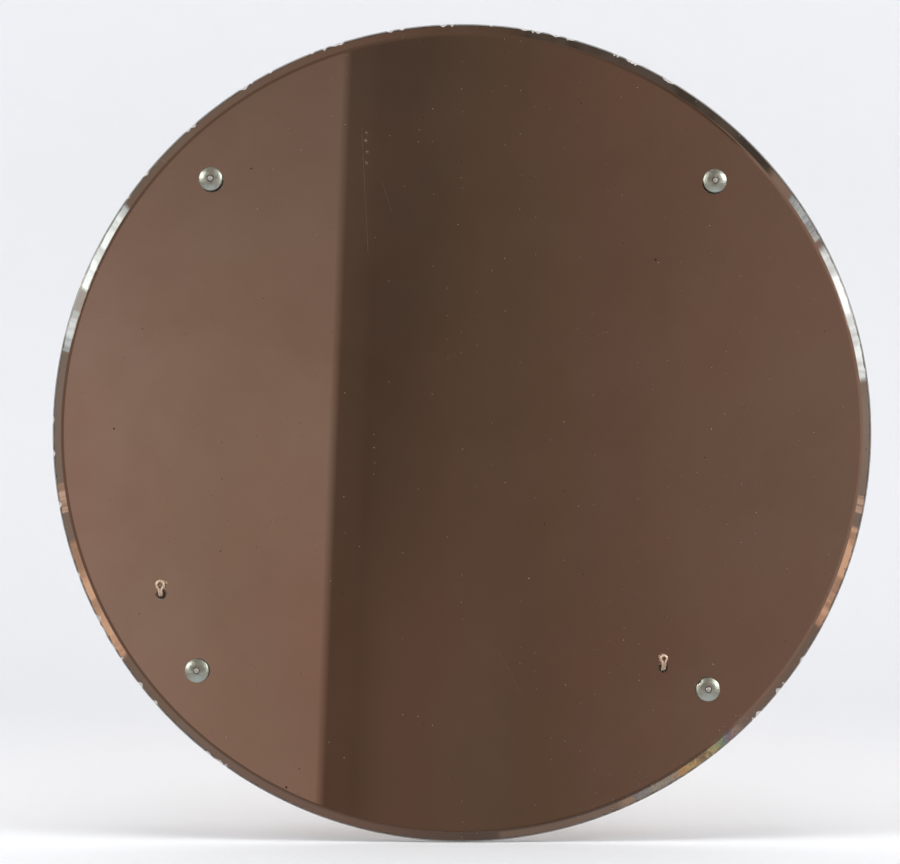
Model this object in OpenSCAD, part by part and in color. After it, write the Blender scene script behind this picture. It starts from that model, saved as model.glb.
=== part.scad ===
// Frameless round bevelled mirror on a plywood back, with four domed mirror screws,
// two split-pin eyes on its face, and two ring hangers and four buffers behind.
// Every sub-part is drawn lying on its back (x right, y up, z towards the viewer)
// and then stood upright, so the finished mirror faces -Y with +Z up.
// The origin is the centre of the backing board's rear face.

/* [Glass] */
// Diameter of the glass plate
glass_d = 508; // [440:1:620]
// Thickness of the glass plate
glass_t = 6; // [5:0.5:8]
// Width of the bevel, measured across the face
bevel_w = 6.2; // [4:0.1:10]
// How far the bevel drops from the face to the edge
bevel_drop = 2.6; // [1:0.1:3]
// Ground arris on the two outer corners
arris = 0.4; // [0.2:0.1:0.6]
// Thickness of the silver, copper and backing paint together
silver_t = 0.2; // [0.1:0.05:0.4]
// Bare margin between the silvering and the edge of the glass
silver_margin = 0.5; // [0.3:0.1:1.5]

/* [Backing board] */
// How far the glass overhangs the plywood backing board
board_inset = 14; // [8:0.5:22]
// Thickness of the backing board
board_t = 9; // [8:0.5:15]
// Chamfer on the board's rear corner
board_chamfer = 1; // [0.5:0.1:2]

/* [Domed mirror screws] */
// Distance of each mirror screw from the edge of the glass
fixing_inset = 33; // [31:1:70]
// Direction of the upper left screw, anticlockwise from the right
fixing_angle_upper_left = 134.9; // [130:0.1:140]
// Direction of the upper right screw
fixing_angle_upper_right = 44.4; // [40:0.1:50]
// Direction of the lower left screw
fixing_angle_lower_left = 222.4; // [218:0.1:226]
// Direction of the lower right screw
fixing_angle_lower_right = 313.5; // [313:0.1:318]
// Diameter of the screw holes drilled in the glass
fixing_hole_d = 7; // [6.4:0.1:8]
// Shank and thread diameter of the mirror screw
screw_d = 4.2; // [3.5:0.1:4.8]
// Depth of thread
thread_depth = 0.6; // [0.3:0.1:0.8]
// Pitch of the thread
thread_pitch = 1.8; // [1.2:0.1:2.5]
// Diameter of the mirror screw's flat head
screw_head_d = 8; // [7.4:0.1:9]
// Thickness of the mirror screw's flat head
screw_head_t = 1.2; // [1:0.1:1.4]
// Wood left under the point of the screw
screw_point = 1; // [0.6:0.1:2]
// Diameter of the fibre washer under the screw head
front_washer_d = 11; // [9.5:0.1:12]
// Thickness of the fibre washer under the screw head
front_washer_t = 0.8; // [0.4:0.1:1]
// Diameter of the spacer washer between glass and board
spacer_d = 18; // [12:0.5:26]
// Thickness of the spacer washer between glass and board
spacer_t = 1.6; // [1:0.1:4]

/* [Domed caps] */
// Diameter of the pressed cap
cap_d = 14.7; // [13.6:0.1:20]
// Height of the cap's dome above its rim
cap_rise = 3.4; // [3.2:0.1:5]
// Thickness of the cap's metal
cap_wall = 0.6; // [0.4:0.1:0.8]
// Gap between the cap's rim and the glass
cap_gap = 0.3; // [0.1:0.1:0.8]
// Diameter of the riveted nib at the cap's centre
nib_d = 3; // [2.6:0.1:4]
// Height of the riveted nib
nib_rise = 0.6; // [0.4:0.1:1]
// Thread diameter of the cap's stud
stud_d = 2; // [1.6:0.1:2.4]
// Length of stud inside the mirror screw
stud_len = 4; // [3:0.5:6]

/* [Split pins] */
// Diameter of the split pin's two half-round legs laid together
pin_d = 2.9; // [2.4:0.1:3.2]
// Diameter of the split-pin holes in glass and board
pin_hole_d = 3.6; // [3.4:0.1:6]
// Gap left between the two legs
leg_gap = 0.1; // [0.06:0.02:0.3]
// Radius of each bend, at the middle of the legs
pin_bend_r = 2; // [1.8:0.1:2.6]
// Length of each spread leg behind the board
leg_spread = 8; // [5:0.5:14]
// Left pin: distance from the edge of the glass
pin_left_inset = 42; // [30:0.5:100]
// Left pin: direction, anticlockwise from the right
pin_left_angle = 208.7; // [200:0.1:212]
// Left pin: inside diameter of the eye
pin_left_eye_d = 3.4; // [3:0.1:3.6]
// Left pin: height of the eye above its hole
pin_left_rise = 5.8; // [5.8:0.1:9]
// Left pin: distance of the eye's middle from the glass
pin_left_stand = 1.9; // [1.9:0.1:4]
// Left pin: twist of the eye about its own upright
pin_left_twist = 0; // [-5:1:5]
// Right pin: distance from the edge of the glass
pin_right_inset = 61; // [54:0.5:100]
// Right pin: direction, anticlockwise from the right
pin_right_angle = 310.3; // [300:0.1:314]
// Right pin: inside diameter of the eye
pin_right_eye_d = 2.5; // [2.2:0.1:3.4]
// Right pin: height of the eye above its hole
pin_right_rise = 5.9; // [5.7:0.1:9]
// Right pin: distance of the eye's middle from the glass
pin_right_stand = 2.3; // [2.3:0.1:5]
// Right pin: twist of the eye about its own upright
pin_right_twist = 8; // [0:1:10]
// Diameter of the brass washer behind the board
pin_washer_d = 12; // [9:0.5:18]
// Thickness of the brass washer behind the board
pin_washer_t = 0.8; // [0.5:0.1:1.2]

/* [Ring hangers] */
// Distance between the two ring hangers
hanger_spacing = 300; // [200:5:320]
// Height of the ring hangers' pivots above the centre
hanger_height = 130; // [60:5:140]
// Width of the hanger strap
strap_w = 14; // [12:0.5:20]
// Length of the hanger strap below its knuckle
strap_len = 42; // [40:1:60]
// Thickness of the hanger strap
strap_t = 1.2; // [0.8:0.1:1.6]
// Diameter of the ring's wire
ring_wire_d = 2.5; // [2:0.1:3]
// Length of the ring's straight sides
ring_side = 6; // [5:0.5:9]
// Diameter of the hanger's pan-head screws
hanger_screw_d = 3.5; // [3:0.1:4]
// Length of hanger screw in the board
hanger_screw_len = 7; // [5:0.5:7.5]
// Distance from the strap's lower end to the first screw
hanger_screw_edge = 8; // [7:0.5:9]
// Distance between a hanger's two screws
hanger_screw_pitch = 12; // [10:0.5:13]

/* [Wall buffers] */
// Diameter of each rubber buffer where it meets the board
buffer_d = 18; // [14:0.5:26]
// Thickness of each rubber buffer
buffer_t = 7; // [6.5:0.5:12]
// Distance of each buffer from the edge of the board
buffer_inset = 40; // [26:1:70]
// Direction of the buffers from the horizontal
buffer_angle = 70; // [62:1:76]
// Shank diameter of the nail through each buffer
nail_d = 1.8; // [1.4:0.1:2.4]
// Length of nail in the board
nail_len = 6.5; // [4:0.5:7]

/* [Hidden] */
$fn = 96;

// Clearances between pieces
slip = 0.05;          // pieces that are pushed together by hand
pivot_slip = 0.06;    // ring wire in its knuckle
pin_play = 0.3;       // split-pin legs behind their washer
ring_lift = 0.45;     // ring wire above its strap
overcut = 1;          // how far a cutting tool runs past a face

// Everything on the glass and the board is set in from an edge
board_d = glass_d - 2 * board_inset;
fixing_r = glass_d / 2 - fixing_inset;
pin_left_r = glass_d / 2 - pin_left_inset;
pin_right_r = glass_d / 2 - pin_right_inset;
buffer_r = board_d / 2 - buffer_inset;

// The stack from the board's rear face to the glass, as heights towards the viewer
glass_back = board_t + spacer_t + silver_t;
glass_front = glass_back + glass_t;
head_seat = glass_front + front_washer_t;
head_top = head_seat + screw_head_t;

// Domed cap, whose shell is the space between two concentric spheres
cap_rim = glass_front + cap_gap;
cap_top = cap_rim + cap_rise;
cap_rim_band = 0.5;
dome_rise = cap_rise - cap_rim_band;
dome_r = (cap_d * cap_d / 4 + dome_rise * dome_rise) / (2 * dome_rise);
dome_centre = cap_top - dome_r;
stud_collar_d = stud_d + 2;

// Mirror screw
thread_top = board_t;
thread_core_d = screw_d - 2 * thread_depth;
point_len = screw_d / 2;
stud_bore_depth = stud_len + 0.6;

// Split pin
pin_r = pin_d / 2;
spread_r = pin_r + 0.75;
spread_bend = spread_r - pin_r - pin_washer_t - pin_play;
bend_thinning = 0.03;
bend_lap = 0.15;

// Ring hanger
ring_r = ring_wire_d / 2;
knuckle_bore_r = ring_r + pivot_slip;
knuckle_r = knuckle_bore_r + strap_t;
pivot_back = strap_t + ring_lift + ring_r;
ring_half = strap_w / 2 + 0.3 + ring_r;
pan_d = 2 * hanger_screw_d;
pan_t = 0.6 * hanger_screw_d;
strap_end_r = 3;

// Buffers
buffer_tip_d = buffer_d - 3;
buffer_recess_d = 8;
buffer_recess = 3;
nail_head_d = 5;
nail_head_t = 1;

function polar(r, angle) = [r * cos(angle), r * sin(angle)];

fixings = [
    ["upper_left", polar(fixing_r, fixing_angle_upper_left)],
    ["upper_right", polar(fixing_r, fixing_angle_upper_right)],
    ["lower_left", polar(fixing_r, fixing_angle_lower_left)],
    ["lower_right", polar(fixing_r, fixing_angle_lower_right)]
];
pins = [
    ["left", polar(pin_left_r, pin_left_angle),
        pin_left_eye_d, pin_left_rise, pin_left_stand, pin_left_twist],
    ["right", polar(pin_right_r, pin_right_angle),
        pin_right_eye_d, pin_right_rise, pin_right_stand, pin_right_twist]
];
hangers = [
    ["left", [-hanger_spacing / 2, hanger_height]],
    ["right", [hanger_spacing / 2, hanger_height]]
];
hanger_screw_rows = [for (i = [0:1]) -strap_len + hanger_screw_edge + i * hanger_screw_pitch];
buffers = [
    ["upper_left", polar(buffer_r, 180 - buffer_angle)],
    ["upper_right", polar(buffer_r, buffer_angle)],
    ["lower_left", polar(buffer_r, 180 + buffer_angle)],
    ["lower_right", polar(buffer_r, -buffer_angle)]
];

// Stands a sub-part upright at a place on the mirror: z towards the viewer becomes -Y.
module upright(place = [0, 0]) {
    rotate([90, 0, 0]) translate([place[0], place[1], 0]) children();
}

// A disc or a collar between two heights.
module disc(d, z0, z1) {
    translate([0, 0, z0]) cylinder(d = d, h = z1 - z0);
}

module collar(d, bore, z0, z1) {
    difference() {
        disc(d, z0, z1);
        disc(bore, z0 - overcut, z1 + overcut);
    }
}

// Cuts the four fixing holes and the two split-pin holes through a sheet.
module sheet_holes(z0, z1) {
    for (f = fixings) translate(f[1]) disc(fixing_hole_d, z0 - overcut, z1 + overcut);
    for (p = pins) translate(p[1]) disc(pin_hole_d, z0 - overcut, z1 + overcut);
}

// ---- Glass, silvering and board ----

module glass_plate() {
    color([0.62, 0.68, 0.66, 0.6]) upright() difference() {
        rotate_extrude() polygon([
            [0, glass_back],
            [glass_d / 2 - arris, glass_back],
            [glass_d / 2, glass_back + arris],
            [glass_d / 2, glass_front - bevel_drop - arris],
            [glass_d / 2 - arris, glass_front - bevel_drop],
            [glass_d / 2 - bevel_w, glass_front],
            [0, glass_front]
        ]);
        sheet_holes(glass_back, glass_front);
    }
}

module silver_layer() {
    color([0.42, 0.34, 0.3]) upright() difference() {
        disc(glass_d - 2 * silver_margin - 2 * arris, glass_back - silver_t, glass_back);
        sheet_holes(glass_back - silver_t, glass_back);
    }
}

module backing_board() {
    color([0.66, 0.5, 0.33]) upright() difference() {
        rotate_extrude() polygon([
            [0, 0],
            [board_d / 2 - board_chamfer, 0],
            [board_d / 2, board_chamfer],
            [board_d / 2, board_t],
            [0, board_t]
        ]);
        for (f = fixings) translate(f[1]) disc(screw_d, screw_point, board_t + overcut);
        for (p = pins) translate(p[1]) disc(pin_hole_d, -overcut, board_t + overcut);
        for (h = hangers, y = hanger_screw_rows)
            translate([h[1][0], h[1][1] + y]) disc(hanger_screw_d, -overcut, hanger_screw_len);
        for (b = buffers) translate(b[1]) disc(nail_d, -overcut, nail_len);
    }
}

// ---- Domed mirror screws ----

module dome_cap(place) {
    color([0.78, 0.8, 0.78]) upright(place) difference() {
        intersection() {
            translate([0, 0, dome_centre]) sphere(r = dome_r);
            disc(cap_d, cap_rim, cap_top + overcut);
        }
        translate([0, 0, dome_centre]) sphere(r = dome_r - cap_wall);
        disc(stud_d, cap_rim, cap_top + overcut);
    }
}

module cap_stud(place) {
    nib_sphere_r = (nib_d * nib_d / 4 + nib_rise * nib_rise) / (2 * nib_rise);
    color([0.86, 0.86, 0.84]) upright(place) {
        intersection() {
            translate([0, 0, cap_top + nib_rise - nib_sphere_r]) sphere(r = nib_sphere_r);
            disc(nib_d, cap_top, cap_top + nib_rise + overcut);
        }
        disc(stud_d, head_top - stud_len, cap_top + nib_rise / 2);
        disc(stud_collar_d, head_top, cap_top - 2 * cap_wall);
    }
}

// A crest of thread: two cones, base to base.
module thread_crest(d, core, z) {
    rise = (d - core) / 2;
    translate([0, 0, z - rise]) cylinder(d1 = core, d2 = d, h = rise);
    translate([0, 0, z]) cylinder(d1 = d, d2 = core, h = rise);
}

module mirror_screw(place) {
    threads = floor((thread_top - screw_point - point_len) / thread_pitch);
    color([0.72, 0.62, 0.38]) upright(place) difference() {
        union() {
            disc(screw_head_d, head_seat, head_top);
            disc(screw_d, thread_top, head_seat + slip);
            disc(thread_core_d, screw_point + point_len, thread_top + slip);
            translate([0, 0, screw_point]) cylinder(d1 = 0.6, d2 = thread_core_d, h = point_len);
            for (i = [1:threads]) thread_crest(screw_d, thread_core_d, thread_top - i * thread_pitch);
        }
        disc(stud_d, head_top - stud_bore_depth, head_top + overcut);
    }
}

module front_washer(place) {
    color([0.3, 0.17, 0.12])
        upright(place) collar(front_washer_d, screw_d + 2 * slip, glass_front, head_seat);
}

module hole_sleeve(place) {
    color([0.15, 0.14, 0.13]) upright(place)
        collar(fixing_hole_d - 2 * slip, screw_d + 2 * slip, board_t + spacer_t, glass_front - slip);
}

module rear_spacer(place) {
    color([0.45, 0.16, 0.1])
        upright(place) collar(spacer_d, screw_d + 2 * slip, board_t, board_t + spacer_t);
}

// ---- Split-pin eyes ----

// One leg is half a round bar, with its flat side at x = 0 and its round side towards +x.
module half_round(r = pin_r) {
    intersection() {
        circle(r = r);
        translate([0, -2 * r]) square([2 * r, 4 * r]);
    }
}

// Wire is drawn a little finer in a bend, which laps into the straights at its ends.
module bent_half_round() {
    translate([bend_thinning, 0]) half_round(pin_r - 2 * bend_thinning);
}

// A bend of the leg's wire about an axis: its flat side lies at the radius, facing out or in.
module leg_bend(r, start, angle) {
    lap = bend_lap / r * 180 / PI;
    rotate_extrude(angle = angle + 2 * lap, start = start - lap) translate([r, 0]) children();
}

// The eye and its neck, drawn flat about the eye's centre.
module pin_eye(eye_r, drop) {
    neck_r = eye_r + pin_r;
    neck_centre = leg_gap / 2 + neck_r;
    neck_drop = sqrt(pow(eye_r + neck_r, 2) - pow(neck_centre, 2));
    neck_angle = atan2(neck_drop, neck_centre);
    rotate_extrude(angle = 180 + 2 * neck_angle, start = -neck_angle)
        translate([eye_r, 0]) half_round();
    for (side = [0, 1]) mirror([side, 0, 0]) {
        translate([neck_centre, -neck_drop, 0])
            leg_bend(neck_r, 180 - neck_angle, neck_angle) mirror([1, 0, 0]) bent_half_round();
        translate([leg_gap / 2, -neck_drop, 0]) rotate([90, 0, 0])
            linear_extrude(drop - neck_drop) half_round();
    }
}

module split_pin(place, eye_d, rise, stand, twist) {
    eye_z = glass_front + stand;
    color([0.72, 0.5, 0.36]) upright(place) {
        translate([0, rise, eye_z]) rotate([0, twist, 0]) pin_eye(eye_d / 2, rise - pin_bend_r);
        translate([0, pin_bend_r, eye_z - pin_bend_r]) rotate([0, 90, 0])
            leg_bend(pin_bend_r, 180, 90) for (side = [0, 1])
                rotate(90) mirror([side, 0, 0]) translate([leg_gap / 2, 0]) bent_half_round();
        for (side = [0, 1]) mirror([side, 0, 0]) {
            translate([leg_gap / 2, 0, spread_bend])
                linear_extrude(eye_z - pin_bend_r - spread_bend) half_round();
            translate([leg_gap / 2 + spread_r, 0, spread_bend]) {
                rotate([-90, 0, 0])
                    leg_bend(spread_r, 90, 90) mirror([1, 0, 0]) bent_half_round();
                translate([0, 0, -spread_r]) rotate([0, 90, 0])
                    linear_extrude(leg_spread) mirror([1, 0, 0]) half_round();
            }
        }
    }
}

module pin_washer(place) {
    color([0.74, 0.58, 0.3]) upright(place) collar(pin_washer_d, pin_hole_d, -pin_washer_t, 0);
}

// ---- Ring hangers ----

module hanger_strap(place) {
    color([0.6, 0.6, 0.58]) upright(place) difference() {
        union() {
            translate([-strap_w / 2, -strap_len, -strap_t])
                linear_extrude(strap_t) difference() {
                    square([strap_w, strap_len]);
                    for (side = [0, 1]) translate([side * strap_w, 0]) mirror([side, 0, 0])
                        difference() {
                            square(strap_end_r);
                            translate([strap_end_r, strap_end_r]) circle(r = strap_end_r);
                        }
                }
            translate([-strap_w / 2, 0, -pivot_back]) rotate([0, 90, 0])
                cylinder(r = knuckle_r, h = strap_w);
            translate([-strap_w / 2, 0, -pivot_back]) cube([strap_w, knuckle_r, pivot_back]);
        }
        translate([-strap_w / 2 - overcut, 0, -pivot_back]) rotate([0, 90, 0])
            cylinder(r = knuckle_bore_r, h = strap_w + 2 * overcut);
        for (y = hanger_screw_rows)
            translate([0, y]) disc(hanger_screw_d, -strap_t - overcut, overcut);
    }
}

// A wire ring of D shape, hanging from its straight bar.
module hanger_ring(place) {
    color([0.78, 0.77, 0.72]) upright(place) translate([0, 0, -pivot_back]) {
        translate([-ring_half, 0, 0]) rotate([0, 90, 0]) cylinder(r = ring_r, h = 2 * ring_half);
        for (x = [-ring_half, ring_half]) {
            translate([x, 0, 0]) sphere(r = ring_r);
            translate([x, 0, 0]) rotate([90, 0, 0]) cylinder(r = ring_r, h = ring_side);
        }
        translate([0, -ring_side, 0])
            rotate_extrude(angle = 180, start = 180) translate([ring_half, 0]) circle(r = ring_r);
    }
}

module hanger_screws(place) {
    driver_slot = 0.8;
    color([0.7, 0.68, 0.62]) upright(place) for (y = hanger_screw_rows) translate([0, y]) {
        difference() {
            disc(pan_d, -strap_t - pan_t, -strap_t);
            translate([-pan_d, -driver_slot / 2, -strap_t - pan_t - overcut])
                cube([2 * pan_d, driver_slot, overcut + pan_t / 2]);
        }
        disc(hanger_screw_d, -strap_t - slip, hanger_screw_len - 1);
        translate([0, 0, hanger_screw_len - 1])
            cylinder(d1 = hanger_screw_d, d2 = hanger_screw_d / 3, h = 1);
    }
}

// ---- Wall buffers ----

module wall_buffer(place) {
    color([0.12, 0.12, 0.12]) upright(place) difference() {
        translate([0, 0, -buffer_t]) cylinder(d1 = buffer_tip_d, d2 = buffer_d, h = buffer_t);
        disc(buffer_recess_d, -buffer_t - overcut, -buffer_t + buffer_recess);
        disc(nail_d, -buffer_t, overcut);
    }
}

module buffer_nails() {
    seat = -buffer_t + buffer_recess;
    color([0.7, 0.68, 0.62]) for (b = buffers) upright(b[1]) {
        disc(nail_head_d, seat - nail_head_t, seat);
        disc(nail_d, seat - slip, nail_len - 1);
        translate([0, 0, nail_len - 1]) cylinder(d1 = nail_d, d2 = nail_d / 3, h = 1);
    }
}

glass_plate();
silver_layer();
backing_board();
for (f = fixings) {
    dome_cap(f[1]);
    cap_stud(f[1]);
    mirror_screw(f[1]);
    front_washer(f[1]);
    hole_sleeve(f[1]);
    rear_spacer(f[1]);
}
for (p = pins) {
    split_pin(p[1], p[2], p[3], p[4], p[5]);
    pin_washer(p[1]);
}
for (h = hangers) {
    hanger_strap(h[1]);
    hanger_ring(h[1]);
    hanger_screws(h[1]);
}
for (b = buffers) {
    wall_buffer(b[1]);
}
buffer_nails();
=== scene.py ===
"""A flat, frameless round mirror with a bevelled edge, four domed mirror screws, two split-pin
eyes on its face, and a plywood back with ring hangers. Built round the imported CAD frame."""
import math
import random

import bmesh
import bpy
from mathutils import Matrix, Vector


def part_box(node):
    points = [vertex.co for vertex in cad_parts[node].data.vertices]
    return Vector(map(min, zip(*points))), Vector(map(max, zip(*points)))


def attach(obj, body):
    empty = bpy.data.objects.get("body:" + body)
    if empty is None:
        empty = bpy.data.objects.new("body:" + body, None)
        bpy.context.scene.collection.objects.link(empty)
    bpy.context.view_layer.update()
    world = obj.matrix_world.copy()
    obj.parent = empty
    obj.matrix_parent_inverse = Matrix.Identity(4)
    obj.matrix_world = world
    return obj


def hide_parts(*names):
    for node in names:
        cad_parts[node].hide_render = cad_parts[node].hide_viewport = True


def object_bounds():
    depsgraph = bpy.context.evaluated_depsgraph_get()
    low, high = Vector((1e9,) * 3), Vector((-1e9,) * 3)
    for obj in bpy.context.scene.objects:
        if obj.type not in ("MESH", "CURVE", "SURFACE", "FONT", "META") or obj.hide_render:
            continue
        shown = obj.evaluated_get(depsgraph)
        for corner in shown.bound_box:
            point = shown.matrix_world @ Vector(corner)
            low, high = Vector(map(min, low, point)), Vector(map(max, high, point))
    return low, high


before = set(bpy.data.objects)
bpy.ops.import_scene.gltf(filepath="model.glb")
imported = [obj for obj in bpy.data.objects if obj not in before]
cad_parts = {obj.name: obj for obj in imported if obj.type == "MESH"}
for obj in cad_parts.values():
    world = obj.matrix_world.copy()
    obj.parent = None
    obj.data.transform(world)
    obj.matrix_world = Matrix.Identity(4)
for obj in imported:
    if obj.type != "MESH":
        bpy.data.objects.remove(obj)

cad_low, cad_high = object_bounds()
rng = random.Random(20)
scene = bpy.context.scene
scene.view_settings.view_transform = "Standard"

# ---- Measures, in metres, most of them read from the frame ----

MM = 0.001
CORNERS = ["upper_left", "upper_right", "lower_left", "lower_right"]
SIDES = ["left", "right"]

glass_low, glass_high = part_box("glass_plate")
GLASS_R = glass_high.x
GLASS_FRONT = glass_low.y
GLASS_BACK = glass_high.y
BEVEL_W = 6.2 * MM
BEVEL_DROP = 2.6 * MM
ARRIS = 0.4 * MM
FIXING_HOLE_R = 3.5 * MM
PIN_HOLE_R = 1.8 * MM

silver_low, silver_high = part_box("silver_layer")
SILVER_R = silver_high.x
SILVER_FRONT = silver_low.y + 0.04 * MM      # a hair behind the glass, so the two never coincide

board_low, board_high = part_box("backing_board")
BOARD_R = board_high.x
PLIES = 5
PLY = (board_high.y - board_low.y) / PLIES


def centre_of(node):
    low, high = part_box(node)
    return (low + high) / 2


FIXINGS = {corner: centre_of("mirror_screw_" + corner) for corner in CORNERS}
PINS = {side: centre_of("pin_washer_" + side) for side in SIDES}
HOLES = [(at.x, at.z, FIXING_HOLE_R) for at in FIXINGS.values()]
HOLES += [(at.x, at.z, PIN_HOLE_R) for at in PINS.values()]


# ---- Node materials ----

class Shader:
    """A node material, with one short call for each kind of node."""

    def __init__(self, name):
        self.material = bpy.data.materials.new(name)
        self.material.use_nodes = True
        self.tree = self.material.node_tree
        self.tree.nodes.clear()
        self.out = self.tree.nodes.new("ShaderNodeOutputMaterial")

    def add(self, kind, settings=None, **inputs):
        """Input names have _ for a space; i0, i1 ... name a socket by its number."""
        node = self.tree.nodes.new("ShaderNode" + kind)
        for key, value in (settings or {}).items():
            setattr(node, key, value)
        for key, value in inputs.items():
            self.set(node, key.replace("_", " "), value)
        return node

    def set(self, node, key, value):
        numbered = key[0] == "i" and key[1:].isdigit()
        socket = node.inputs[int(key[1:])] if numbered else node.inputs[key]
        if isinstance(value, bpy.types.NodeSocket):
            self.tree.links.new(value, socket)
        else:
            socket.default_value = value

    def math(self, operation, a, b=0.0, c=0.0, clamp=False):
        node = self.add("Math", {"operation": operation, "use_clamp": clamp}, i0=a, i1=b, i2=c)
        return node.outputs[0]

    def place(self):
        return self.add("TexCoord").outputs["Object"]

    def split(self, vector):
        parts = self.add("SeparateXYZ", Vector=vector).outputs
        return parts["X"], parts["Y"], parts["Z"]

    def join(self, x, y, z):
        return self.add("CombineXYZ", X=x, Y=y, Z=z).outputs[0]

    def stretch(self, vector, x, y, z):
        node = self.add("VectorMath", {"operation": "MULTIPLY"}, i0=vector, i1=(x, y, z))
        return node.outputs[0]

    def distance(self, vector, point):
        node = self.add("VectorMath", {"operation": "DISTANCE"}, i0=vector, i1=point)
        return node.outputs["Value"]

    def noise(self, vector, scale, detail=4.0, roughness=0.5, distortion=0.0):
        node = self.add("TexNoise", Vector=vector, Scale=scale, Detail=detail,
                        Roughness=roughness, Distortion=distortion)
        return node.outputs["Fac"]

    def ramp(self, fac, *stops):
        """Stops are (position, colour)."""
        node = self.add("ValToRGB", Fac=fac)
        ramp = node.color_ramp
        while len(ramp.elements) < len(stops):
            ramp.elements.new(0.5)
        for element, (position, colour) in zip(ramp.elements, stops):
            element.position = position
            element.color = (*colour, 1)
        return node.outputs["Color"]

    def step(self, fac, low, high):
        """0 at low, 1 at high, smooth between them; low may be the greater."""
        node = self.add("MapRange", {"interpolation_type": "SMOOTHSTEP"},
                        i0=fac, i1=low, i2=high, i3=0.0, i4=1.0)
        return node.outputs[0]

    def between(self, fac, low, high, soft):
        rising = self.step(fac, low - soft, low + soft)
        return self.math("MULTIPLY", rising, self.step(fac, high + soft, high - soft))

    def mix(self, fac, a, b):
        """Mixes two colours."""
        node = self.add("Mix", {"data_type": "RGBA"})
        self.set(node, "i0", fac)
        self.set(node, "i6", a if isinstance(a, bpy.types.NodeSocket) else (*a, 1))
        self.set(node, "i7", b if isinstance(b, bpy.types.NodeSocket) else (*b, 1))
        return node.outputs[2]

    def blend(self, fac, a, b):
        """Mixes two numbers."""
        return self.add("MapRange", i0=fac, i1=0.0, i2=1.0, i3=a, i4=b).outputs[0]

    def spots(self, vector, scale, size, share):
        """Scattered round spots on x and y: cells 1/scale wide, a share of which hold a spot."""
        node = self.add("TexVoronoi", {"voronoi_dimensions": "2D"}, Vector=vector, Scale=scale)
        dot = self.step(node.outputs["Distance"], size * scale, size * scale * 0.6)
        pick = self.split(node.outputs["Color"])[0]
        return self.math("MULTIPLY", dot, self.step(pick, share, share - 0.02))

    def bump(self, height, distance, strength=1.0):
        node = self.add("Bump", Height=height, Strength=strength, Distance=distance)
        return node.outputs["Normal"]

    def finish(self, **inputs):
        node = self.add("BsdfPrincipled", **inputs)
        self.tree.links.new(node.outputs[0], self.out.inputs["Surface"])
        return self.material


def glass_material():
    """Clear old plate glass with a faint green cast."""
    return Shader("bevelled_glass").finish(
        Base_Color=(0.955, 0.975, 0.965, 1), Roughness=0.0, IOR=1.52, Transmission_Weight=1.0)


def ground_edge_material():
    """The ground rim of the glass, dulled and dirty."""
    s = Shader("ground_edge")
    place = s.place()
    grime = s.noise(place, 90.0, 6.0, 0.65)
    speck = s.step(s.noise(place, 700.0, 3.0, 0.6), 0.58, 0.66)
    dirt = s.ramp(grime, (0.3, (0.10, 0.085, 0.062)), (0.7, (0.24, 0.205, 0.165)))
    colour = s.mix(speck, dirt, (0.48, 0.44, 0.39))
    normal = s.bump(s.noise(place, 1500.0, 2.0), 0.0002)
    return s.finish(Base_Color=colour, Roughness=s.blend(grime, 0.45, 0.8), Normal=normal)


def chip_material():
    """Small shell-shaped breaks in the rim, pale and sparkling."""
    s = Shader("chipped_glass")
    place = s.place()
    shade = s.noise(place, 900.0, 5.0, 0.7)
    colour = s.ramp(shade, (0.3, (0.22, 0.19, 0.17)), (0.62, (0.80, 0.78, 0.75)))
    normal = s.bump(s.noise(place, 1200.0, 4.0, 0.7), 0.0006)
    return s.finish(Base_Color=colour, Roughness=s.blend(shade, 0.15, 0.5), Normal=normal)


# Blemishes in the silvering: x and z in mm from the centre, radius in mm
DARK_BLEMISHES = [(121, 106, 0.9), (-216, 1, 0.7), (-108, -221, 0.8), (64, -38, 0.4)]
PALE_BLEMISHES = [(-59, 186, 1.0), (-59.4, 181, 1.2), (-58.6, 174, 0.9), (123, 104, 0.5),
                  (-59, 167, 1.0), (42, -92, 0.6), (-2, 128, 0.5), (171, -118, 0.6)]
# Scratches: x and z in mm of the middle, slope in degrees, length in mm
SCRATCHES = [(-46, 145, 108, 20), (-60, 150, 93, 80), (-182, 166, 150, 26), (88, 60, 24, 30),
             (180, 20, 96, 18), (-120, -60, 40, 24), (30, -150, 118, 34), (-210, -120, 70, 16)]
# Stretches of the rim, in degrees anticlockwise from the right
TARNISH_FROM = 293
TARNISH_TO = 313
DUST_FROM = 286
DUST_TO = 334


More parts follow.
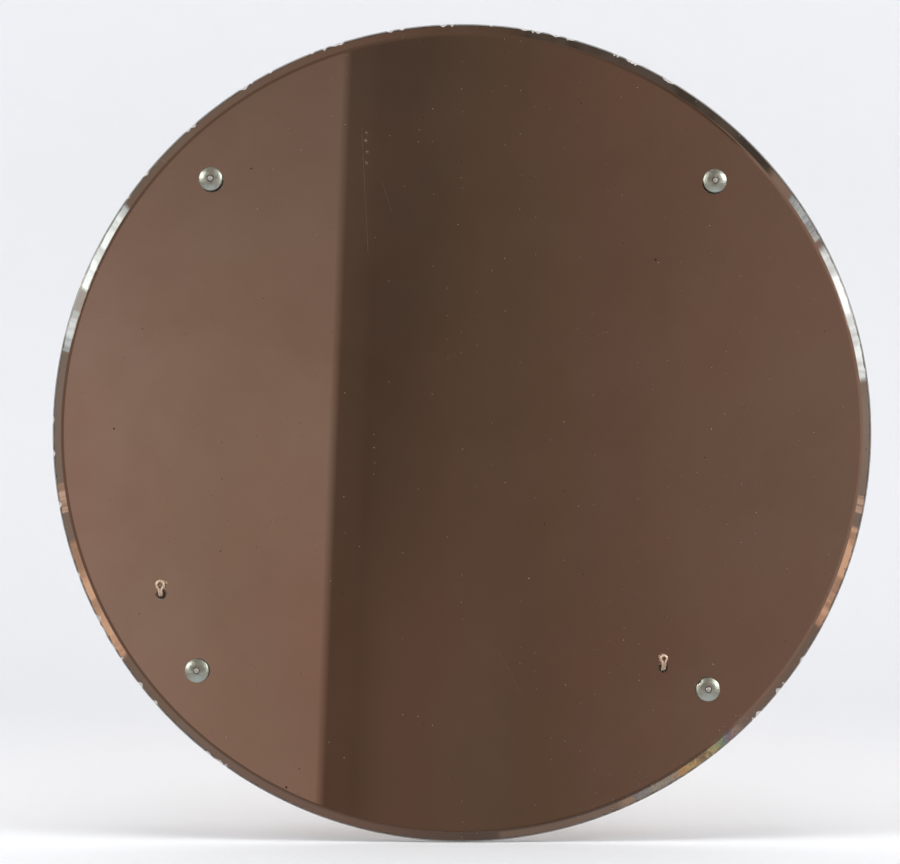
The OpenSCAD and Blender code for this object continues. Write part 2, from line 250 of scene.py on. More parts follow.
def tarnish(s, flat, turn, radius):
    """Rainbow tarnish along a stretch of the rim: where it lies, and its colours."""
    along = s.between(turn, TARNISH_FROM, TARNISH_TO, 2.5)
    wander = s.noise(flat, 150.0, 4.0, 0.6)
    reach = s.math("MULTIPLY_ADD", wander, 3 * MM, radius)
    across = s.step(reach, SILVER_R - 4.2 * MM, SILVER_R - 3.2 * MM)
    share = s.add("MapRange", i0=turn, i1=TARNISH_FROM, i2=TARNISH_TO, i3=0.0, i4=1.0).outputs[0]
    uneven = s.math("SUBTRACT", s.noise(flat, 230.0, 3.0, 0.6), 0.5)
    share = s.math("MULTIPLY_ADD", uneven, 0.35, share)
    rainbow = s.ramp(share, (0.0, (0.80, 0.70, 0.64)), (0.07, (1.0, 0.76, 0.56)),
                     (0.15, (0.52, 0.66, 0.92)), (0.24, (0.70, 0.72, 0.74)),
                     (0.40, (0.62, 0.60, 0.62)), (0.47, (1.0, 0.58, 0.26)),
                     (0.58, (1.0, 0.80, 0.38)), (0.67, (0.36, 0.20, 0.13)),
                     (0.76, (0.98, 0.88, 0.40)), (0.83, (0.36, 0.78, 0.62)),
                     (0.91, (0.52, 0.38, 0.82)), (1.0, (0.84, 0.74, 0.68)))
    return s.math("MULTIPLY", along, across), rainbow


def oxide_and_pin_shadow(s, flat, radius):
    """Where the silver has gone brown, at the rim and round each hole, plus a painted shadow below
    and left of each split pin.
    """
    ragged = s.math("MULTIPLY", s.noise(flat, 260.0, 5.0, 0.7), 3.0 * MM)
    brown = s.step(s.math("ADD", radius, ragged), SILVER_R + 0.8 * MM, SILVER_R + 1.5 * MM)
    for hole_x, hole_z, hole_r in HOLES:
        away = s.math("SUBTRACT", s.distance(flat, (hole_x, 0, hole_z)), ragged)
        ring = s.step(away, hole_r + 0.4 * MM, hole_r - 1.2 * MM)
        brown = s.math("MAXIMUM", brown, ring)
    # Painted shadow: a dark spot below and left of each split pin, as its hole would cast.
    for at, spread in ((PINS["left"], 0.8 * MM), (PINS["right"], 0.5 * MM)):
        away = s.distance(flat, (at.x - 0.9 * MM, 0, at.z - 1.1 * MM))
        brown = s.math("MAXIMUM", brown, s.step(away, spread + 0.5 * MM, spread))
    return brown


def with_blemishes(s, mask, flat, blemishes, core):
    """Adds single round blemishes to a mask. core is the share of the radius that is solid."""
    for x, z, radius in blemishes:
        away = s.distance(flat, (x * MM, 0, z * MM))
        mask = s.math("MAXIMUM", mask, s.step(away, radius * MM, radius * MM * core))
    return mask


def with_scratches(s, mask, x, z):
    """Adds the scratches to a mask, faintly."""
    for line_x, line_z, slope, length in SCRATCHES:
        lean = math.radians(slope)
        u = s.math("MULTIPLY_ADD", x, math.cos(lean), s.math("MULTIPLY", z, math.sin(lean)))
        v = s.math("MULTIPLY_ADD", x, -math.sin(lean), s.math("MULTIPLY", z, math.cos(lean)))
        middle_u = (line_x * math.cos(lean) + line_z * math.sin(lean)) * MM
        middle_v = (line_z * math.cos(lean) - line_x * math.sin(lean)) * MM
        ends = s.between(u, middle_u - length / 2 * MM, middle_u + length / 2 * MM, 3 * MM)
        line = s.between(v, middle_v - 0.1 * MM, middle_v + 0.1 * MM, 0.12 * MM)
        line = s.math("MULTIPLY", s.math("MULTIPLY", ends, line), 0.4)
        mask = s.math("MAXIMUM", mask, line)
    return mask


def silver_material():
    """Old silvering: clouded a little, spotted, scratched, oxidised at its rim and round the
    holes, with rainbow tarnish along the lower right of the bevel."""
    s = Shader("silvering")
    x, _, z = s.split(s.place())
    flat = s.join(x, 0.0, z)
    face = s.join(x, z, 0.0)
    radius = s.distance(flat, (0, 0, 0))
    turn = s.math("MULTIPLY", s.math("ARCTAN2", z, x), 180 / math.pi)
    turn = s.math("ADD", turn, 360.0)

    cloud = s.noise(flat, 11.0, 6.0, 0.62, 0.4)
    rosy = s.noise(s.stretch(flat, 1.0, 1.0, 0.6), 5.0, 4.0, 0.55)
    colour = s.mix(s.step(cloud, 0.35, 0.65), (0.90, 0.865, 0.83), (0.96, 0.945, 0.93))
    colour = s.mix(s.step(rosy, 0.48, 0.66), colour, (0.96, 0.86, 0.84))
    patch, rainbow = tarnish(s, flat, turn, radius)
    colour = s.mix(s.math("MULTIPLY", patch, 0.95), colour, rainbow)

    coarse = s.spots(face, 15.0, 0.6 * MM, 0.08)
    dark = s.math("MAXIMUM", s.spots(face, 40.0, 0.4 * MM, 0.10), coarse)
    dark = with_blemishes(s, dark, flat, DARK_BLEMISHES, 0.5)
    pale = s.math("MULTIPLY", s.spots(face, 110.0, 0.55 * MM, 0.14), 0.55)
    dusty = s.math("MULTIPLY", s.between(turn, DUST_FROM, DUST_TO, 6),
                   s.step(radius, SILVER_R - 16 * MM, SILVER_R - 4 * MM))
    dusty = s.math("MAXIMUM", patch, s.math("MULTIPLY", dusty, s.step(cloud, 0.35, 0.6)))
    glints = s.math("MULTIPLY", s.spots(face, 420.0, 0.45 * MM, 0.2), dusty)
    pale = s.math("MAXIMUM", pale, s.math("MULTIPLY", glints, 0.9))
    pale = with_blemishes(s, pale, flat, PALE_BLEMISHES, 0.4)
    pale = with_scratches(s, pale, x, z)

    # brown holds the oxide and also the painted shadow beside the split pins.
    brown = oxide_and_pin_shadow(s, flat, radius)
    colour = s.mix(brown, colour, (0.085, 0.064, 0.048))
    colour = s.mix(dark, colour, (0.03, 0.022, 0.018))
    colour = s.mix(pale, colour, (1.0, 0.97, 0.93))
    lost_or_shadowed = s.math("MAXIMUM", brown, dark)
    hazy = s.math("MAXIMUM", pale, s.math("MULTIPLY", patch, 0.25))
    rough = s.math("MULTIPLY", s.math("MAXIMUM", lost_or_shadowed, hazy), 0.62)
    return s.finish(Base_Color=colour, Metallic=s.blend(lost_or_shadowed, 1.0, 0.0), Roughness=rough)


def paint_material():
    """The brown paint over the back of the silver."""
    s = Shader("backing_paint")
    place = s.place()
    shade = s.noise(s.stretch(place, 1.0, 1.0, 6.0), 30.0, 6.0, 0.6)
    colour = s.ramp(shade, (0.35, (0.085, 0.045, 0.032)), (0.65, (0.17, 0.095, 0.065)))
    normal = s.bump(s.noise(place, 400.0, 3.0), 0.0001)
    return s.finish(Base_Color=colour, Roughness=s.blend(shade, 0.5, 0.7), Normal=normal)


def plywood_material():
    """Birch plywood: grain runs up both faces, and the plies show round the edge."""
    s = Shader("plywood")
    place = s.place()
    x, y, z = s.split(place)
    radius = s.distance(s.join(x, 0.0, z), (0, 0, 0))

    warped = s.math("MULTIPLY_ADD", s.noise(s.stretch(place, 3.0, 1.0, 0.5), 3.0, 3.0), 0.06, x)
    drawn_out = s.join(s.math("MULTIPLY", warped, 26.0), 0.0, s.math("MULTIPLY", z, 1.1))
    rings = s.noise(drawn_out, 1.6, 5.0, 0.6)
    fibre = s.noise(s.stretch(place, 900.0, 60.0, 14.0), 1.0, 3.0, 0.6)
    veneer = s.ramp(rings, (0.30, (0.36, 0.215, 0.115)), (0.48, (0.53, 0.355, 0.205)),
                    (0.56, (0.60, 0.42, 0.26)), (0.72, (0.47, 0.30, 0.165)))
    veneer = s.mix(s.math("MULTIPLY", s.step(fibre, 0.42, 0.72), 0.35), veneer, (0.30, 0.18, 0.10))

    ply = s.math("FRACT", s.math("DIVIDE", y, 2 * PLY))
    across = s.step(ply, 0.48, 0.52)
    end_grain = s.noise(s.stretch(place, 700.0, 120.0, 700.0), 1.0, 3.0, 0.6)
    light_ply = s.ramp(end_grain, (0.3, (0.44, 0.30, 0.17)), (0.7, (0.60, 0.44, 0.27)))
    dark_ply = s.ramp(end_grain, (0.3, (0.20, 0.115, 0.06)), (0.7, (0.36, 0.22, 0.12)))
    edge = s.step(radius, BOARD_R - 0.9 * MM, BOARD_R - 0.6 * MM)
    colour = s.mix(edge, veneer, s.mix(across, light_ply, dark_ply))

    stain = s.step(s.noise(place, 7.0, 5.0, 0.6), 0.52, 0.74)
    colour = s.mix(s.math("MULTIPLY", stain, 0.35), colour, (0.20, 0.125, 0.075))
    height = s.math("ADD", fibre, s.math("MULTIPLY", s.math("MULTIPLY", edge, across), -1.5))
    normal = s.bump(height, 0.00012)
    return s.finish(Base_Color=colour, Roughness=s.blend(rings, 0.5, 0.78), Normal=normal)


def metal_material(name, light, dark, polish, dull, grime, stretch=(1.0, 1.0, 1.0), freckle=0.08,
                   shine=1.0):
    """Worn metal: two tones, drawn or rolled along one axis, with grime and freckles.
    A shine below 1 is a dull patina."""
    s = Shader(name)
    place = s.place()
    tone = s.noise(s.stretch(place, *stretch), 240.0, 5.0, 0.6)
    film = s.step(s.noise(place, 130.0, 5.0, 0.65), 0.45, 0.72)
    marks = s.noise(s.stretch(place, *stretch), 2600.0, 2.0)
    colour = s.mix(s.step(tone, 0.35, 0.65), dark, light)
    dirt = s.math("MULTIPLY", film, 0.45)
    specks = s.step(s.noise(place, 1400.0, 2.0), 0.72 - freckle, 0.76 - freckle)
    dirt = s.math("MAXIMUM", dirt, s.math("MULTIPLY", specks, 0.6))
    colour = s.mix(dirt, colour, grime)
    normal = s.bump(s.math("ADD", marks, tone), 0.00003)
    return s.finish(Base_Color=colour, Metallic=s.blend(dirt, shine, shine * 0.55),
                    Roughness=s.blend(s.math("ADD", film, tone), polish, dull), Normal=normal)


def cap_material():
    """Turned nickel: fine rings about the middle, which spread the light in two wedges."""
    s = Shader("turned_cap")
    place = s.place()
    x, _, z = s.split(place)
    radius = s.distance(s.join(x, 0.0, z), (0, 0, 0))
    rings = s.noise(s.join(s.math("MULTIPLY", radius, 5200.0), 0.0, 0.0), 1.0, 3.0, 0.6)
    film = s.noise(place, 420.0, 5.0, 0.65)
    colour = s.mix(rings, (0.52, 0.57, 0.50), (0.72, 0.765, 0.69))
    colour = s.mix(s.math("MULTIPLY", s.step(film, 0.5, 0.75), 0.45), colour, (0.36, 0.33, 0.24))
    # Painted shade: the groove round the nib and the rolled rim are darkened, as they would be in
    # their own shadow.
    groove = s.between(radius, 1.45 * MM, 2.15 * MM, 0.2 * MM)
    rim = s.step(radius, 6.85 * MM, 7.2 * MM)
    shade = s.math("MAXIMUM", s.math("MULTIPLY", groove, 0.75), s.math("MULTIPLY", rim, 0.35))
    colour = s.mix(shade, colour, (0.13, 0.12, 0.09))
    tangent = s.add("Tangent", {"direction_type": "RADIAL", "axis": "Y"}).outputs[0]
    normal = s.bump(rings, 0.00002)
    return s.finish(Base_Color=colour, Metallic=0.95, Roughness=s.blend(film, 0.24, 0.42),
                    Anisotropic=0.75, Tangent=tangent, Normal=normal)


def fibre_material(name, light, dark):
    """Pressed vulcanised fibre, mottled along its sheet."""
    s = Shader(name)
    place = s.place()
    mottle = s.noise(s.stretch(place, 1.0, 2.5, 1.0), 420.0, 6.0, 0.7)
    colour = s.ramp(mottle, (0.32, dark), (0.68, light))
    normal = s.bump(mottle, 0.00008)
    return s.finish(Base_Color=colour, Roughness=s.blend(mottle, 0.6, 0.85), Normal=normal)


def rubber_material(name, colour, dust):
    """Old rubber with pale dust lying in its pores."""
    s = Shader(name)
    place = s.place()
    pores = s.noise(place, 900.0, 4.0, 0.65)
    bloom = s.step(s.noise(place, 90.0, 5.0, 0.6), 0.45, 0.75)
    worn = s.mix(s.math("MULTIPLY", bloom, 0.45), colour, dust)
    worn = s.mix(s.math("MULTIPLY", s.step(pores, 0.5, 0.7), 0.3), worn, dust)
    normal = s.bump(pores, 0.0001)
    return s.finish(Base_Color=worn, Roughness=s.blend(pores, 0.65, 0.9), Normal=normal)


# ---- Mesh helpers ----

def add_piece(name, bm, materials, body, node=None, at=(0, 0, 0)):
    bmesh.ops.recalc_face_normals(bm, faces=bm.faces)
    mesh = bpy.data.meshes.new(name)
    bm.to_mesh(mesh)
    bm.free()
    for material in materials:
        mesh.materials.append(material)
    piece = bpy.data.objects.new(name, mesh)
    piece.location = at
    scene.collection.objects.link(piece)
    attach(piece, body)
    if node:
        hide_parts(node)
    return piece


def smooth(piece, degrees):
    mesh = piece.data
    mesh.polygons.foreach_set("use_smooth", [True] * len(mesh.polygons))
    mesh.set_sharp_from_angle(angle=math.radians(degrees))


def revolve(bm, profile, steps, shape=None, material=None):
    """Turns (radius, y) points about the Y axis. shape(row, angle, radius, y) may move a point
    and material(row, step) may pick a face's material."""
    rows = []
    for row, (radius, y) in enumerate(profile):
        if radius == 0:
            rows.append([bm.verts.new((0, y, 0))])
            continue
        ring = []
        for step in range(steps):
            angle = 2 * math.pi * step / steps
            r, deep = shape(row, angle, radius, y) if shape else (radius, y)
            ring.append(bm.verts.new((r * math.cos(angle), deep, r * math.sin(angle))))
        rows.append(ring)
    for row in range(len(rows) - 1):
        near, far = rows[row], rows[row + 1]
        for step in range(steps):
            after = (step + 1) % steps
            corners = [near[step % len(near)], near[after % len(near)],
                       far[after % len(far)], far[step % len(far)]]
            face = bm.faces.new(list(dict.fromkeys(corners)))
            if material:
                face.material_index = material(row, step)


def drill(piece, holes, front, back):
    """Cuts round holes along Y. holes are (x, z, radius)."""
    bm = bmesh.new()
    upright = Matrix.Rotation(math.pi / 2, 4, "X")
    for x, z, radius in holes:
        at = Matrix.Translation((x, (front + back) / 2, z)) @ upright
        bmesh.ops.create_cone(bm, cap_ends=True, segments=64, radius1=radius, radius2=radius,
                              depth=back - front, matrix=at)
    mesh = bpy.data.meshes.new("drill")
    bm.to_mesh(mesh)
    bm.free()
    cutter = bpy.data.objects.new("drill", mesh)
    scene.collection.objects.link(cutter)
    cut = piece.modifiers.new("drill", "BOOLEAN")
    cut.operation = "DIFFERENCE"
    cut.solver = "EXACT"
    cut.object = cutter
    bpy.context.view_layer.update()
    depsgraph = bpy.context.evaluated_depsgraph_get()
    drilled = bpy.data.meshes.new_from_object(piece.evaluated_get(depsgraph))
    piece.modifiers.clear()
    piece.data = drilled
    bpy.data.objects.remove(cutter)


# ---- Glass and silvering ----

EDGE_STEPS = 1440
# Clusters of chips round the rim: degrees anticlockwise from the right, spread, how many
CHIP_CLUSTERS = [(109, 3, 6), (99.5, 1.5, 4), (92, 1, 2), (86, 0.5, 2), (80, 1.5, 3), (75, 1.5, 3),
                 (66, 2.5, 6), (61, 2, 3), (118, 5, 4), (138, 9, 6), (157, 3, 2), (185, 8, 3),
                 (205, 5, 3), (211, 3, 3), (221, 3, 2), (236, 8, 3), (323, 4, 4), (316, 3, 2)]


def scatter_chips():
    """Which steps of the rim are chipped, and how deep each is, as a share of the deepest."""
    chips = {}
    for middle, spread, count in CHIP_CLUSTERS:
        for _ in range(count):
            step = round((middle + rng.uniform(-spread, spread)) / 360 * EDGE_STEPS)
            half = rng.choice([0, 0, 1, 1, 2])
            depth = rng.uniform(0.35, 1.0)
            for i in range(-half, half + 1):
                chips[(step + i) % EDGE_STEPS] = depth * (1 - 0.35 * abs(i))
    return chips


def build_glass():
    chips = scatter_chips()
    lip = 1.9 * MM                       # how far in from the rim the deepest chip bites
    slope = BEVEL_DROP / (BEVEL_W - ARRIS)
    profile = [
        (0, GLASS_BACK),
        (GLASS_R - ARRIS, GLASS_BACK),
        (GLASS_R, GLASS_BACK - ARRIS),
        (GLASS_R, GLASS_FRONT + BEVEL_DROP + ARRIS),
        (GLASS_R - ARRIS, GLASS_FRONT + BEVEL_DROP),
        (GLASS_R - ARRIS - lip, GLASS_FRONT + BEVEL_DROP - lip * slope),
        (GLASS_R - BEVEL_W, GLASS_FRONT),
        (0, GLASS_FRONT),
    ]
    rim_rows = (1, 2, 3)
    lip_row = 4

    def bite(row, angle, radius, y):
        """Draws the rim in where it is chipped, and keeps the strip's inner line on the bevel."""
        depth = chips.get(round(angle / (2 * math.pi) * EDGE_STEPS), 0)
        if row == lip_row + 1:
            unbitten = lip * 0.95 * (1 - depth)
            return radius + unbitten, y + unbitten * slope
        if row == lip_row:
            return radius - 0.55 * MM * depth, y + 0.7 * MM * depth
        if row == lip_row - 1:
            return radius - 0.1 * MM * depth, y + 0.4 * MM * depth
        return radius, y

    def face_material(row, step):
        """0 is clear glass, 1 the ground rim and 2 a chip."""
        chipped = step in chips or (step + 1) % EDGE_STEPS in chips
        if chipped and row in (lip_row - 1, lip_row):
            return 2
        return 1 if row in rim_rows else 0

    bm = bmesh.new()
    revolve(bm, profile, EDGE_STEPS, bite, face_material)
    materials = [glass_material(), ground_edge_material(), chip_material()]
    piece = add_piece("bevelled_glass_disc", bm, materials, "mirror",
                      "glass_plate")
    drill(piece, HOLES, GLASS_FRONT - 2 * MM, GLASS_BACK + 2 * MM)
    smooth(piece, 4)


def build_silver():
    back = silver_high.y
    profile = [(0, SILVER_FRONT), (SILVER_R, SILVER_FRONT), (SILVER_R, back), (0, back)]
    bm = bmesh.new()
    revolve(bm, profile, 720, material=lambda row, step: 0 if row == 0 else 1)
    materials = [silver_material(), paint_material()]
    piece = add_piece("silvered_back", bm, materials, "mirror", "silver_layer")
    drill(piece, HOLES, SILVER_FRONT - 2 * MM, back + 2 * MM)
    smooth(piece, 4)


# ---- Domed caps ----

CAP_WALL = 0.6 * MM
CAP_DENT = {"lower_right": 138}          # degrees round the cap, where its rim is dented


def cap_profile(radius, top, rim):
    """The outside from the bore to the rim, then the inside back to the bore."""
    rise = rim - 0.5 * MM - top
    outside = []
    for r in [1.0, 1.45, 1.6, 1.8, 2.0, 2.15, 2.6, 3.2, 3.9, 4.6, 5.3, 6.0, 6.6, 7.0, 7.2]:
        share = r * MM / radius
        groove = 0.14 * MM if 1.5 < r < 2.1 else 0
        outside.append((r * MM, top + rise * (0.72 * share ** 2 + 0.28 * share) + groove))
    outside.append((radius, rim - 0.45 * MM))
    outside.append((radius, rim - 0.08 * MM))
    outside.append((radius - 0.12 * MM, rim))
    inside = [(radius - CAP_WALL, rim), (radius - CAP_WALL, rim - 0.5 * MM)]
    for r in [6.0, 4.6, 3.2, 2.0, 1.0]:
        share = r * MM / radius
        inside.append((r * MM, top + CAP_WALL + rise * (0.72 * share ** 2 + 0.28 * share)))
    return outside + inside + outside[:1]


def build_cap(corner, material):
    node = "dome_cap_" + corner
    low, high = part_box(node)
    at = (low + high) / 2
    radius = (high.x - low.x) / 2
    profile = cap_profile(radius, low.y - at.y, high.y - at.y)
    dent = CAP_DENT.get(corner)

    def press(_row, angle, r, y):
        if dent is None or r < 5.5 * MM:
            return r, y
        off = (math.degrees(angle) - dent + 180) % 360 - 180
        push = max(0, 1 - (off / 17) ** 2) * (r - 5.5 * MM) / (radius - 5.5 * MM)
        return r - 0.7 * MM * push, y

    bm = bmesh.new()
    revolve(bm, profile, 96, press)
    piece = add_piece("turned_cap_" + corner, bm, [material], "mirror", node, at)
    smooth(piece, 35)


# ---- CAD nodes that show as they are, each with its own material ----

def paint_nodes():
    nickel = metal_material("cap_stud_nickel", (1.0, 0.985, 0.975), (0.92, 0.90, 0.89), 0.42, 0.6,
                            (0.30, 0.27, 0.22))
    brass = metal_material("mirror_screw_brass", (0.80, 0.60, 0.28), (0.62, 0.43, 0.18), 0.22, 0.45,
                           (0.20, 0.14, 0.08))
    copper = metal_material("split_pin_copper_brass", (0.93, 0.71, 0.54), (0.76, 0.50, 0.35), 0.34,
                            0.5, (0.34, 0.19, 0.12), (1.0, 1.0, 0.25), shine=0.5)
    washer = metal_material("washer_brass", (0.78, 0.62, 0.34), (0.58, 0.43, 0.21), 0.25, 0.5,
                            (0.21, 0.15, 0.08))
    zinc = metal_material("strap_zinc", (0.66, 0.66, 0.64), (0.48, 0.49, 0.49), 0.3, 0.55,
                          (0.26, 0.22, 0.18), (1.0, 1.0, 0.12))
    ring = metal_material("ring_nickel", (0.78, 0.76, 0.71), (0.60, 0.58, 0.53), 0.16, 0.36,
                          (0.24, 0.18, 0.13))
    steel = metal_material("screw_steel", (0.62, 0.60, 0.56), (0.45, 0.43, 0.40), 0.25, 0.5,
                           (0.27, 0.16, 0.09), freckle=0.16)
    nail = metal_material("nail_steel", (0.58, 0.57, 0.55), (0.40, 0.39, 0.38), 0.28, 0.55,
                          (0.30, 0.15, 0.08), freckle=0.2)
    red_fibre = fibre_material("spacer_fibre", (0.40, 0.11, 0.06), (0.20, 0.05, 0.03))
    brown_fibre = fibre_material("washer_fibre", (0.26, 0.14, 0.09), (0.12, 0.06, 0.04))
    sleeve = rubber_material("sleeve_rubber", (0.035, 0.03, 0.028), (0.16, 0.14, 0.12))
    buffer = rubber_material("buffer_rubber", (0.03, 0.03, 0.031), (0.20, 0.19, 0.17))
    looks = {
        "backing_board": plywood_material(),
        "cap_stud": nickel,
        "mirror_screw": brass,
        "front_washer": brown_fibre,
        "hole_sleeve": sleeve,
        "rear_spacer": red_fibre,
        "split_pin": copper,
        "pin_washer": washer,
        "hanger_strap": zinc,
        "hanger_ring": ring,
        "hanger_screws": steel,
        "wall_buffer": buffer,
        "buffer_nails": nail,
    }
    for name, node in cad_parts.items():
        for start, material in looks.items():
            if name.startswith(start):
                node.data.materials.clear()
                node.data.materials.append(material)


# ---- Camera ----

CAMERA_DISTANCE = 1.8
VIEW_WIDTH = 556.74 * MM                 # what the picture spans from side to side, at the glass
SENSOR_WIDTH = 36                        # in millimetres, as is the lens


def build_camera():
    data = bpy.data.cameras.new("camera")
    camera = bpy.data.objects.new("camera", data)
    scene.collection.objects.link(camera)
    data.sensor_width = SENSOR_WIDTH
    data.lens = SENSOR_WIDTH * CAMERA_DISTANCE / VIEW_WIDTH
    camera.location = (0.022, GLASS_FRONT - CAMERA_DISTANCE, -0.096)
    aim = Vector((-0.0068, GLASS_FRONT, -0.0015))
    camera.rotation_mode = "QUATERNION"
    camera.rotation_quaternion = (aim - camera.location).to_track_quat("-Z", "Y")
    scene.camera = camera


# ---- Stage: what the glass reflects ----

SHELL_R = 12
SHELL_LOW = -8
SHELL_HIGH = 45
SHELL_REACH = 85                         # degrees either side of straight ahead
CORNER_LEAN = 0.036                      # sideways shift of the room's corner with height
ROOM_TONES = [                           # across the room at 12 m, in metres from the middle
    (-6.0, (0.30, 0.25, 0.22)),
    (-3.8, (0.24, 0.165, 0.13)),
    (-1.9, (0.275, 0.168, 0.128)),
    (-1.3, (0.240, 0.145, 0.106)),
    (-0.79, (0.232, 0.138, 0.101)),
    (-0.7775, (0.088, 0.050, 0.033)),
    (-0.66, (0.082, 0.046, 0.031)),
    (-0.62, (0.070, 0.039, 0.026)),
    (-0.45, (0.074, 0.042, 0.028)),
    (-0.2, (0.093, 0.054, 0.035)),
    (0.3, (0.115, 0.065, 0.043)),
    (0.8, (0.138, 0.076, 0.053)),
    (1.6, (0.170, 0.101, 0.073)),
    (3.2, (0.19, 0.13, 0.10)),
    (6.0, (0.30, 0.25, 0.22)),
]
# Cards for the bevel, which the face doesn't catch from in front: centre x and z, width and
# height in metres at 12 m, and radiance
CARDS = [
    ("white_card_right", 3.75, -1.28, 1.9, 0.94, (1.12, 1.15, 1.16)),
    ("grey_card_right", 3.75, -0.39, 1.9, 0.46, (0.62, 0.64, 0.64)),
    ("white_card_left", -4.15, -0.57, 1.9, 1.5, (1.12, 1.15, 1.16)),
    ("grey_card_left", -4.0, -1.6, 1.9, 0.5, (0.50, 0.51, 0.52)),
    ("copper_card_right", 3.85, 2.52, 1.8, 1.36, (0.74, 0.42, 0.28)),
    ("peach_card_right", 4.0, 1.4, 1.8, 0.34, (0.62, 0.40, 0.30)),
    ("copper_card_left", -4.3, 2.3, 1.8, 1.15, (0.74, 0.42, 0.28)),
    ("peach_card_left", -4.4, 1.5, 1.8, 0.2, (0.55, 0.36, 0.27)),
    ("gold_card_top", -2.55, 4.36, 1.2, 0.9, (1.05, 0.88, 0.68)),
    ("dark_card_low", -2.3, -2.95, 3.2, 1.9, (0.085, 0.061, 0.047)),
]
CARD_NEARNESS = 0.92                     # the cards hang a little in front of the room
CARD_DULLEST = 0.55                      # how dim a card is in its dullest patches
# Soft boxes for the caps and other bright metal: direction in degrees, height, width, radiance
SOFT_BOX_REACH = 7
SOFT_BOX_TALL = 3.0
SOFT_BOXES = [
    ("soft_box_left", -66, 3.2, 2.8, (4.6, 4.6, 4.3)),
    ("soft_box_right", 66, 3.4, 3.0, (5.6, 5.7, 5.5)),
]


def stage_mesh(name, bm, material):
    mesh = bpy.data.meshes.new(name)
    bm.to_mesh(mesh)
    bm.free()
    mesh.materials.append(material)
    piece = bpy.data.objects.new(name, mesh)
    scene.collection.objects.link(piece)
    return piece


def for_reflections_only(piece):
    piece.visible_camera = False
    piece.visible_diffuse = False
    piece.visible_shadow = False


def emit(s, colour):
    """An emission that lights nothing by itself, only what mirrors it."""
    s.material.cycles.emission_sampling = "NONE"
    return s.add("Emission", Color=colour)


def room_material():
    """A glowing shell painted as the walls of a dim brown room, its corner a painted line of shade,
    dimmer at the top and warmer at the foot.
    """
    s = Shader("dim_room")
    x, _, z = s.split(s.place())
    across = s.math("MULTIPLY_ADD", z, -CORNER_LEAN, x)
    low, high = ROOM_TONES[0][0], ROOM_TONES[-1][0]
    share = s.add("MapRange", i0=across, i1=low, i2=high, i3=0.0, i4=1.0).outputs[0]
    tones = s.ramp(share, *[((at - low) / (high - low), colour) for at, colour in ROOM_TONES])
    dim_top = s.math("MULTIPLY", s.step(z, 0.4, 2.6), s.step(across, 0.6, -0.6))
    tones = s.mix(s.math("MULTIPLY", dim_top, 0.42), tones, (0.08, 0.052, 0.038))
    warm_foot = s.math("MULTIPLY", s.step(z, 1.2, -0.8), s.between(across, -0.6, 0.1, 0.15))
    tones = s.mix(s.math("MULTIPLY", warm_foot, 0.6), tones, (0.122, 0.073, 0.050))
    uneven = s.noise(s.join(x, 0.0, z), 1.1, 4.0, 0.6)
    tones = s.mix(s.math("MULTIPLY", s.step(uneven, 0.42, 0.68), 0.14), tones, (0.15, 0.075, 0.055))
    s.tree.links.new(emit(s, tones).outputs[0], s.out.inputs["Surface"])
    return s.material


def build_room():
    bm = bmesh.new()
    rows = []
    for height in (SHELL_LOW, SHELL_HIGH):
        row = []
        for degrees in range(-SHELL_REACH, SHELL_REACH + 1, 5):
            turn = math.radians(degrees)
            row.append(bm.verts.new((SHELL_R * math.sin(turn), -SHELL_R * math.cos(turn), height)))
        rows.append(row)
    for i in range(len(rows[0]) - 1):
        bm.faces.new([rows[0][i], rows[0][i + 1], rows[1][i + 1], rows[1][i]])
    for_reflections_only(stage_mesh("dim_room", bm, room_material()))
    near = CARD_NEARNESS
    for name, x, z, width, height, colour in CARDS:
        at = (x * near, -SHELL_R * near, z * near)
        add_card(name, at, width * near, height * near, colour, CARD_DULLEST)


def card_material(name, colour, dullest):
    """A glow that is dimmer in patches, down to a share of itself, and fades at the border."""
    s = Shader(name)
    place = s.place()
    x, y, _ = s.split(place)
    patches = s.step(s.noise(place, 4.0, 3.0, 0.6), 0.38, 0.56)
    tint = s.mix(patches, tuple(dullest * part for part in colour), colour)
    fade = s.math("MULTIPLY", s.between(x, -0.47, 0.47, 0.03), s.between(y, -0.47, 0.47, 0.03))
    light = emit(s, tint)
    clear = s.add("BsdfTransparent")
    card = s.add("MixShader", i0=fade, i1=clear.outputs[0], i2=light.outputs[0])
    s.tree.links.new(card.outputs[0], s.out.inputs["Surface"])
    return s.material


def add_card(name, centre, width, height, colour, dullest=1.0):
    """A glowing card that faces the mirror and shows only in reflections."""
    bm = bmesh.new()
    bmesh.ops.create_grid(bm, x_segments=1, y_segments=1, size=0.5)
    card = stage_mesh(name, bm, card_material(name, colour, dullest))
    card.location = centre
    card.rotation_mode = "QUATERNION"
    card.rotation_quaternion = (-Vector(centre)).to_track_quat("Z", "Y")
    card.scale = (width, height, 1)
    for_reflections_only(card)


def build_soft_boxes():
    for name, degrees, height, width, colour in SOFT_BOXES:
        turn = math.radians(degrees)
        at = (SOFT_BOX_REACH * math.sin(turn), -SOFT_BOX_REACH * math.cos(turn), height)
        add_card(name, at, width, SOFT_BOX_TALL, colour)
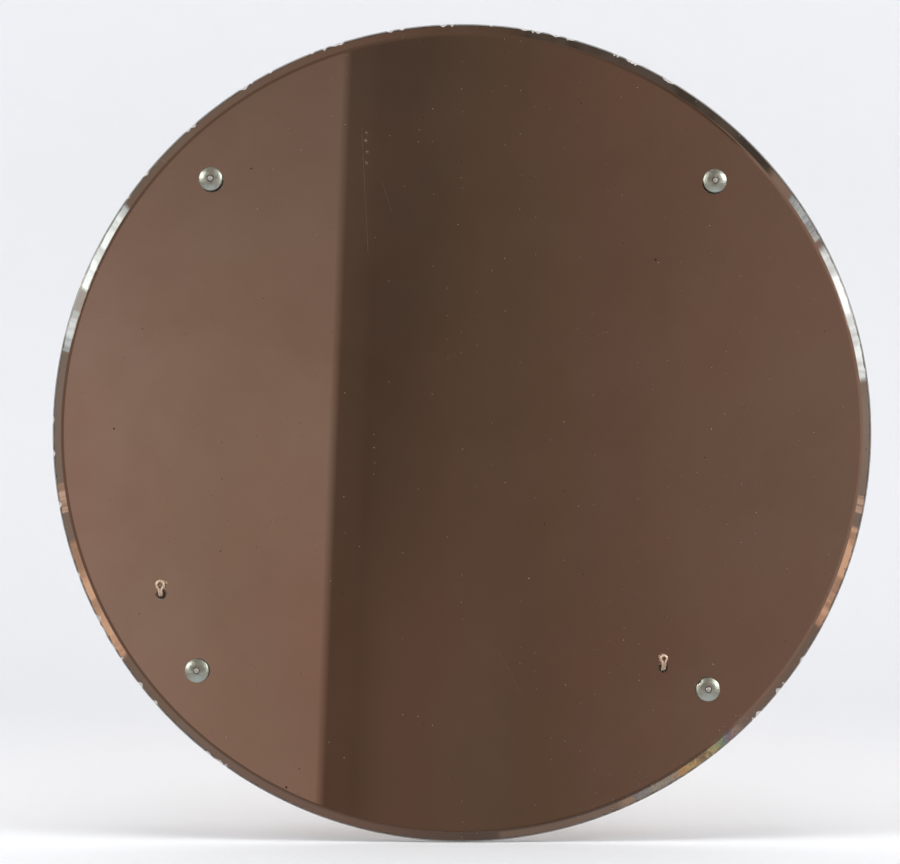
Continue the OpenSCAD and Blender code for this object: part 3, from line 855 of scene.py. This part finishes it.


# ---- Stage: paper, world and lamps ----

def paper_material():
    """Pale seamless paper, seen from its front only."""
    s = Shader("seamless_paper")
    tone = s.noise(s.place(), 2.0, 3.0)
    # Painted light and shade: the floor part of the paper is made lighter than the backdrop part.
    height = s.split(s.place())[2]
    lit = s.step(height, -0.18, -0.25)
    wall = s.mix(tone, (0.80, 0.81, 0.835), (0.83, 0.84, 0.865))
    colour = s.mix(lit, wall, (0.95, 0.95, 0.955))
    paper = s.add("BsdfPrincipled", Base_Color=colour, Roughness=0.9)
    clear = s.add("BsdfTransparent")
    behind = s.add("NewGeometry").outputs["Backfacing"]
    sides = s.add("MixShader", i0=behind, i1=paper.outputs[0], i2=clear.outputs[0])
    s.tree.links.new(sides.outputs[0], s.out.inputs["Surface"])
    return s.material


def build_paper():
    """A floor that curves up into a backdrop."""
    floor = cad_low.z - 0.5 * MM
    back = 0.66
    bend = 0.5
    line = [(-12.0, floor), (back - bend, floor)]
    for degrees in range(10, 91, 10):
        turn = math.radians(degrees)
        line.append((back - bend + bend * math.sin(turn), floor + bend * (1 - math.cos(turn))))
    line.append((back, 4.0))
    bm = bmesh.new()
    rows = [[bm.verts.new((side, y, z)) for y, z in line] for side in (-9, 9)]
    for i in range(len(line) - 1):
        bm.faces.new([rows[0][i], rows[1][i], rows[1][i + 1], rows[0][i + 1]])
    paper = stage_mesh("paper", bm, paper_material())
    smooth(paper, 40)
    paper.visible_glossy = False
    paper.visible_transmission = False


def build_world():
    world = bpy.data.worlds.new("studio")
    scene.world = world
    world.use_nodes = True
    background = world.node_tree.nodes["Background"]
    background.inputs["Color"].default_value = (0.90, 0.915, 0.95, 1)
    background.inputs["Strength"].default_value = 0.545


def build_lamps():
    for name, at, power, width in [
        ("lamp_left", (-1.7, -1.5, 1.5), 16, 1.2),
        ("lamp_right", (1.7, -1.5, 1.3), 16, 1.2),
        ("lamp_top", (0.0, -1.1, 2.6), 27, 1.8),
        ("lamp_back", (0.4, 2.4, 1.8), 30, 1.5),
    ]:
        data = bpy.data.lights.new(name, "AREA")
        data.shape = "SQUARE"
        data.size = width
        data.energy = power
        lamp = bpy.data.objects.new(name, data)
        scene.collection.objects.link(lamp)
        lamp.location = at
        lamp.rotation_mode = "QUATERNION"
        lamp.rotation_quaternion = (-Vector(at)).to_track_quat("-Z", "Y")
        lamp.visible_glossy = False
        lamp.visible_transmission = False


build_glass()
build_silver()
cap_metal = cap_material()
for corner in CORNERS:
    build_cap(corner, cap_metal)
paint_nodes()
build_camera()
build_room()
build_soft_boxes()
build_paper()
build_world()
build_lamps()
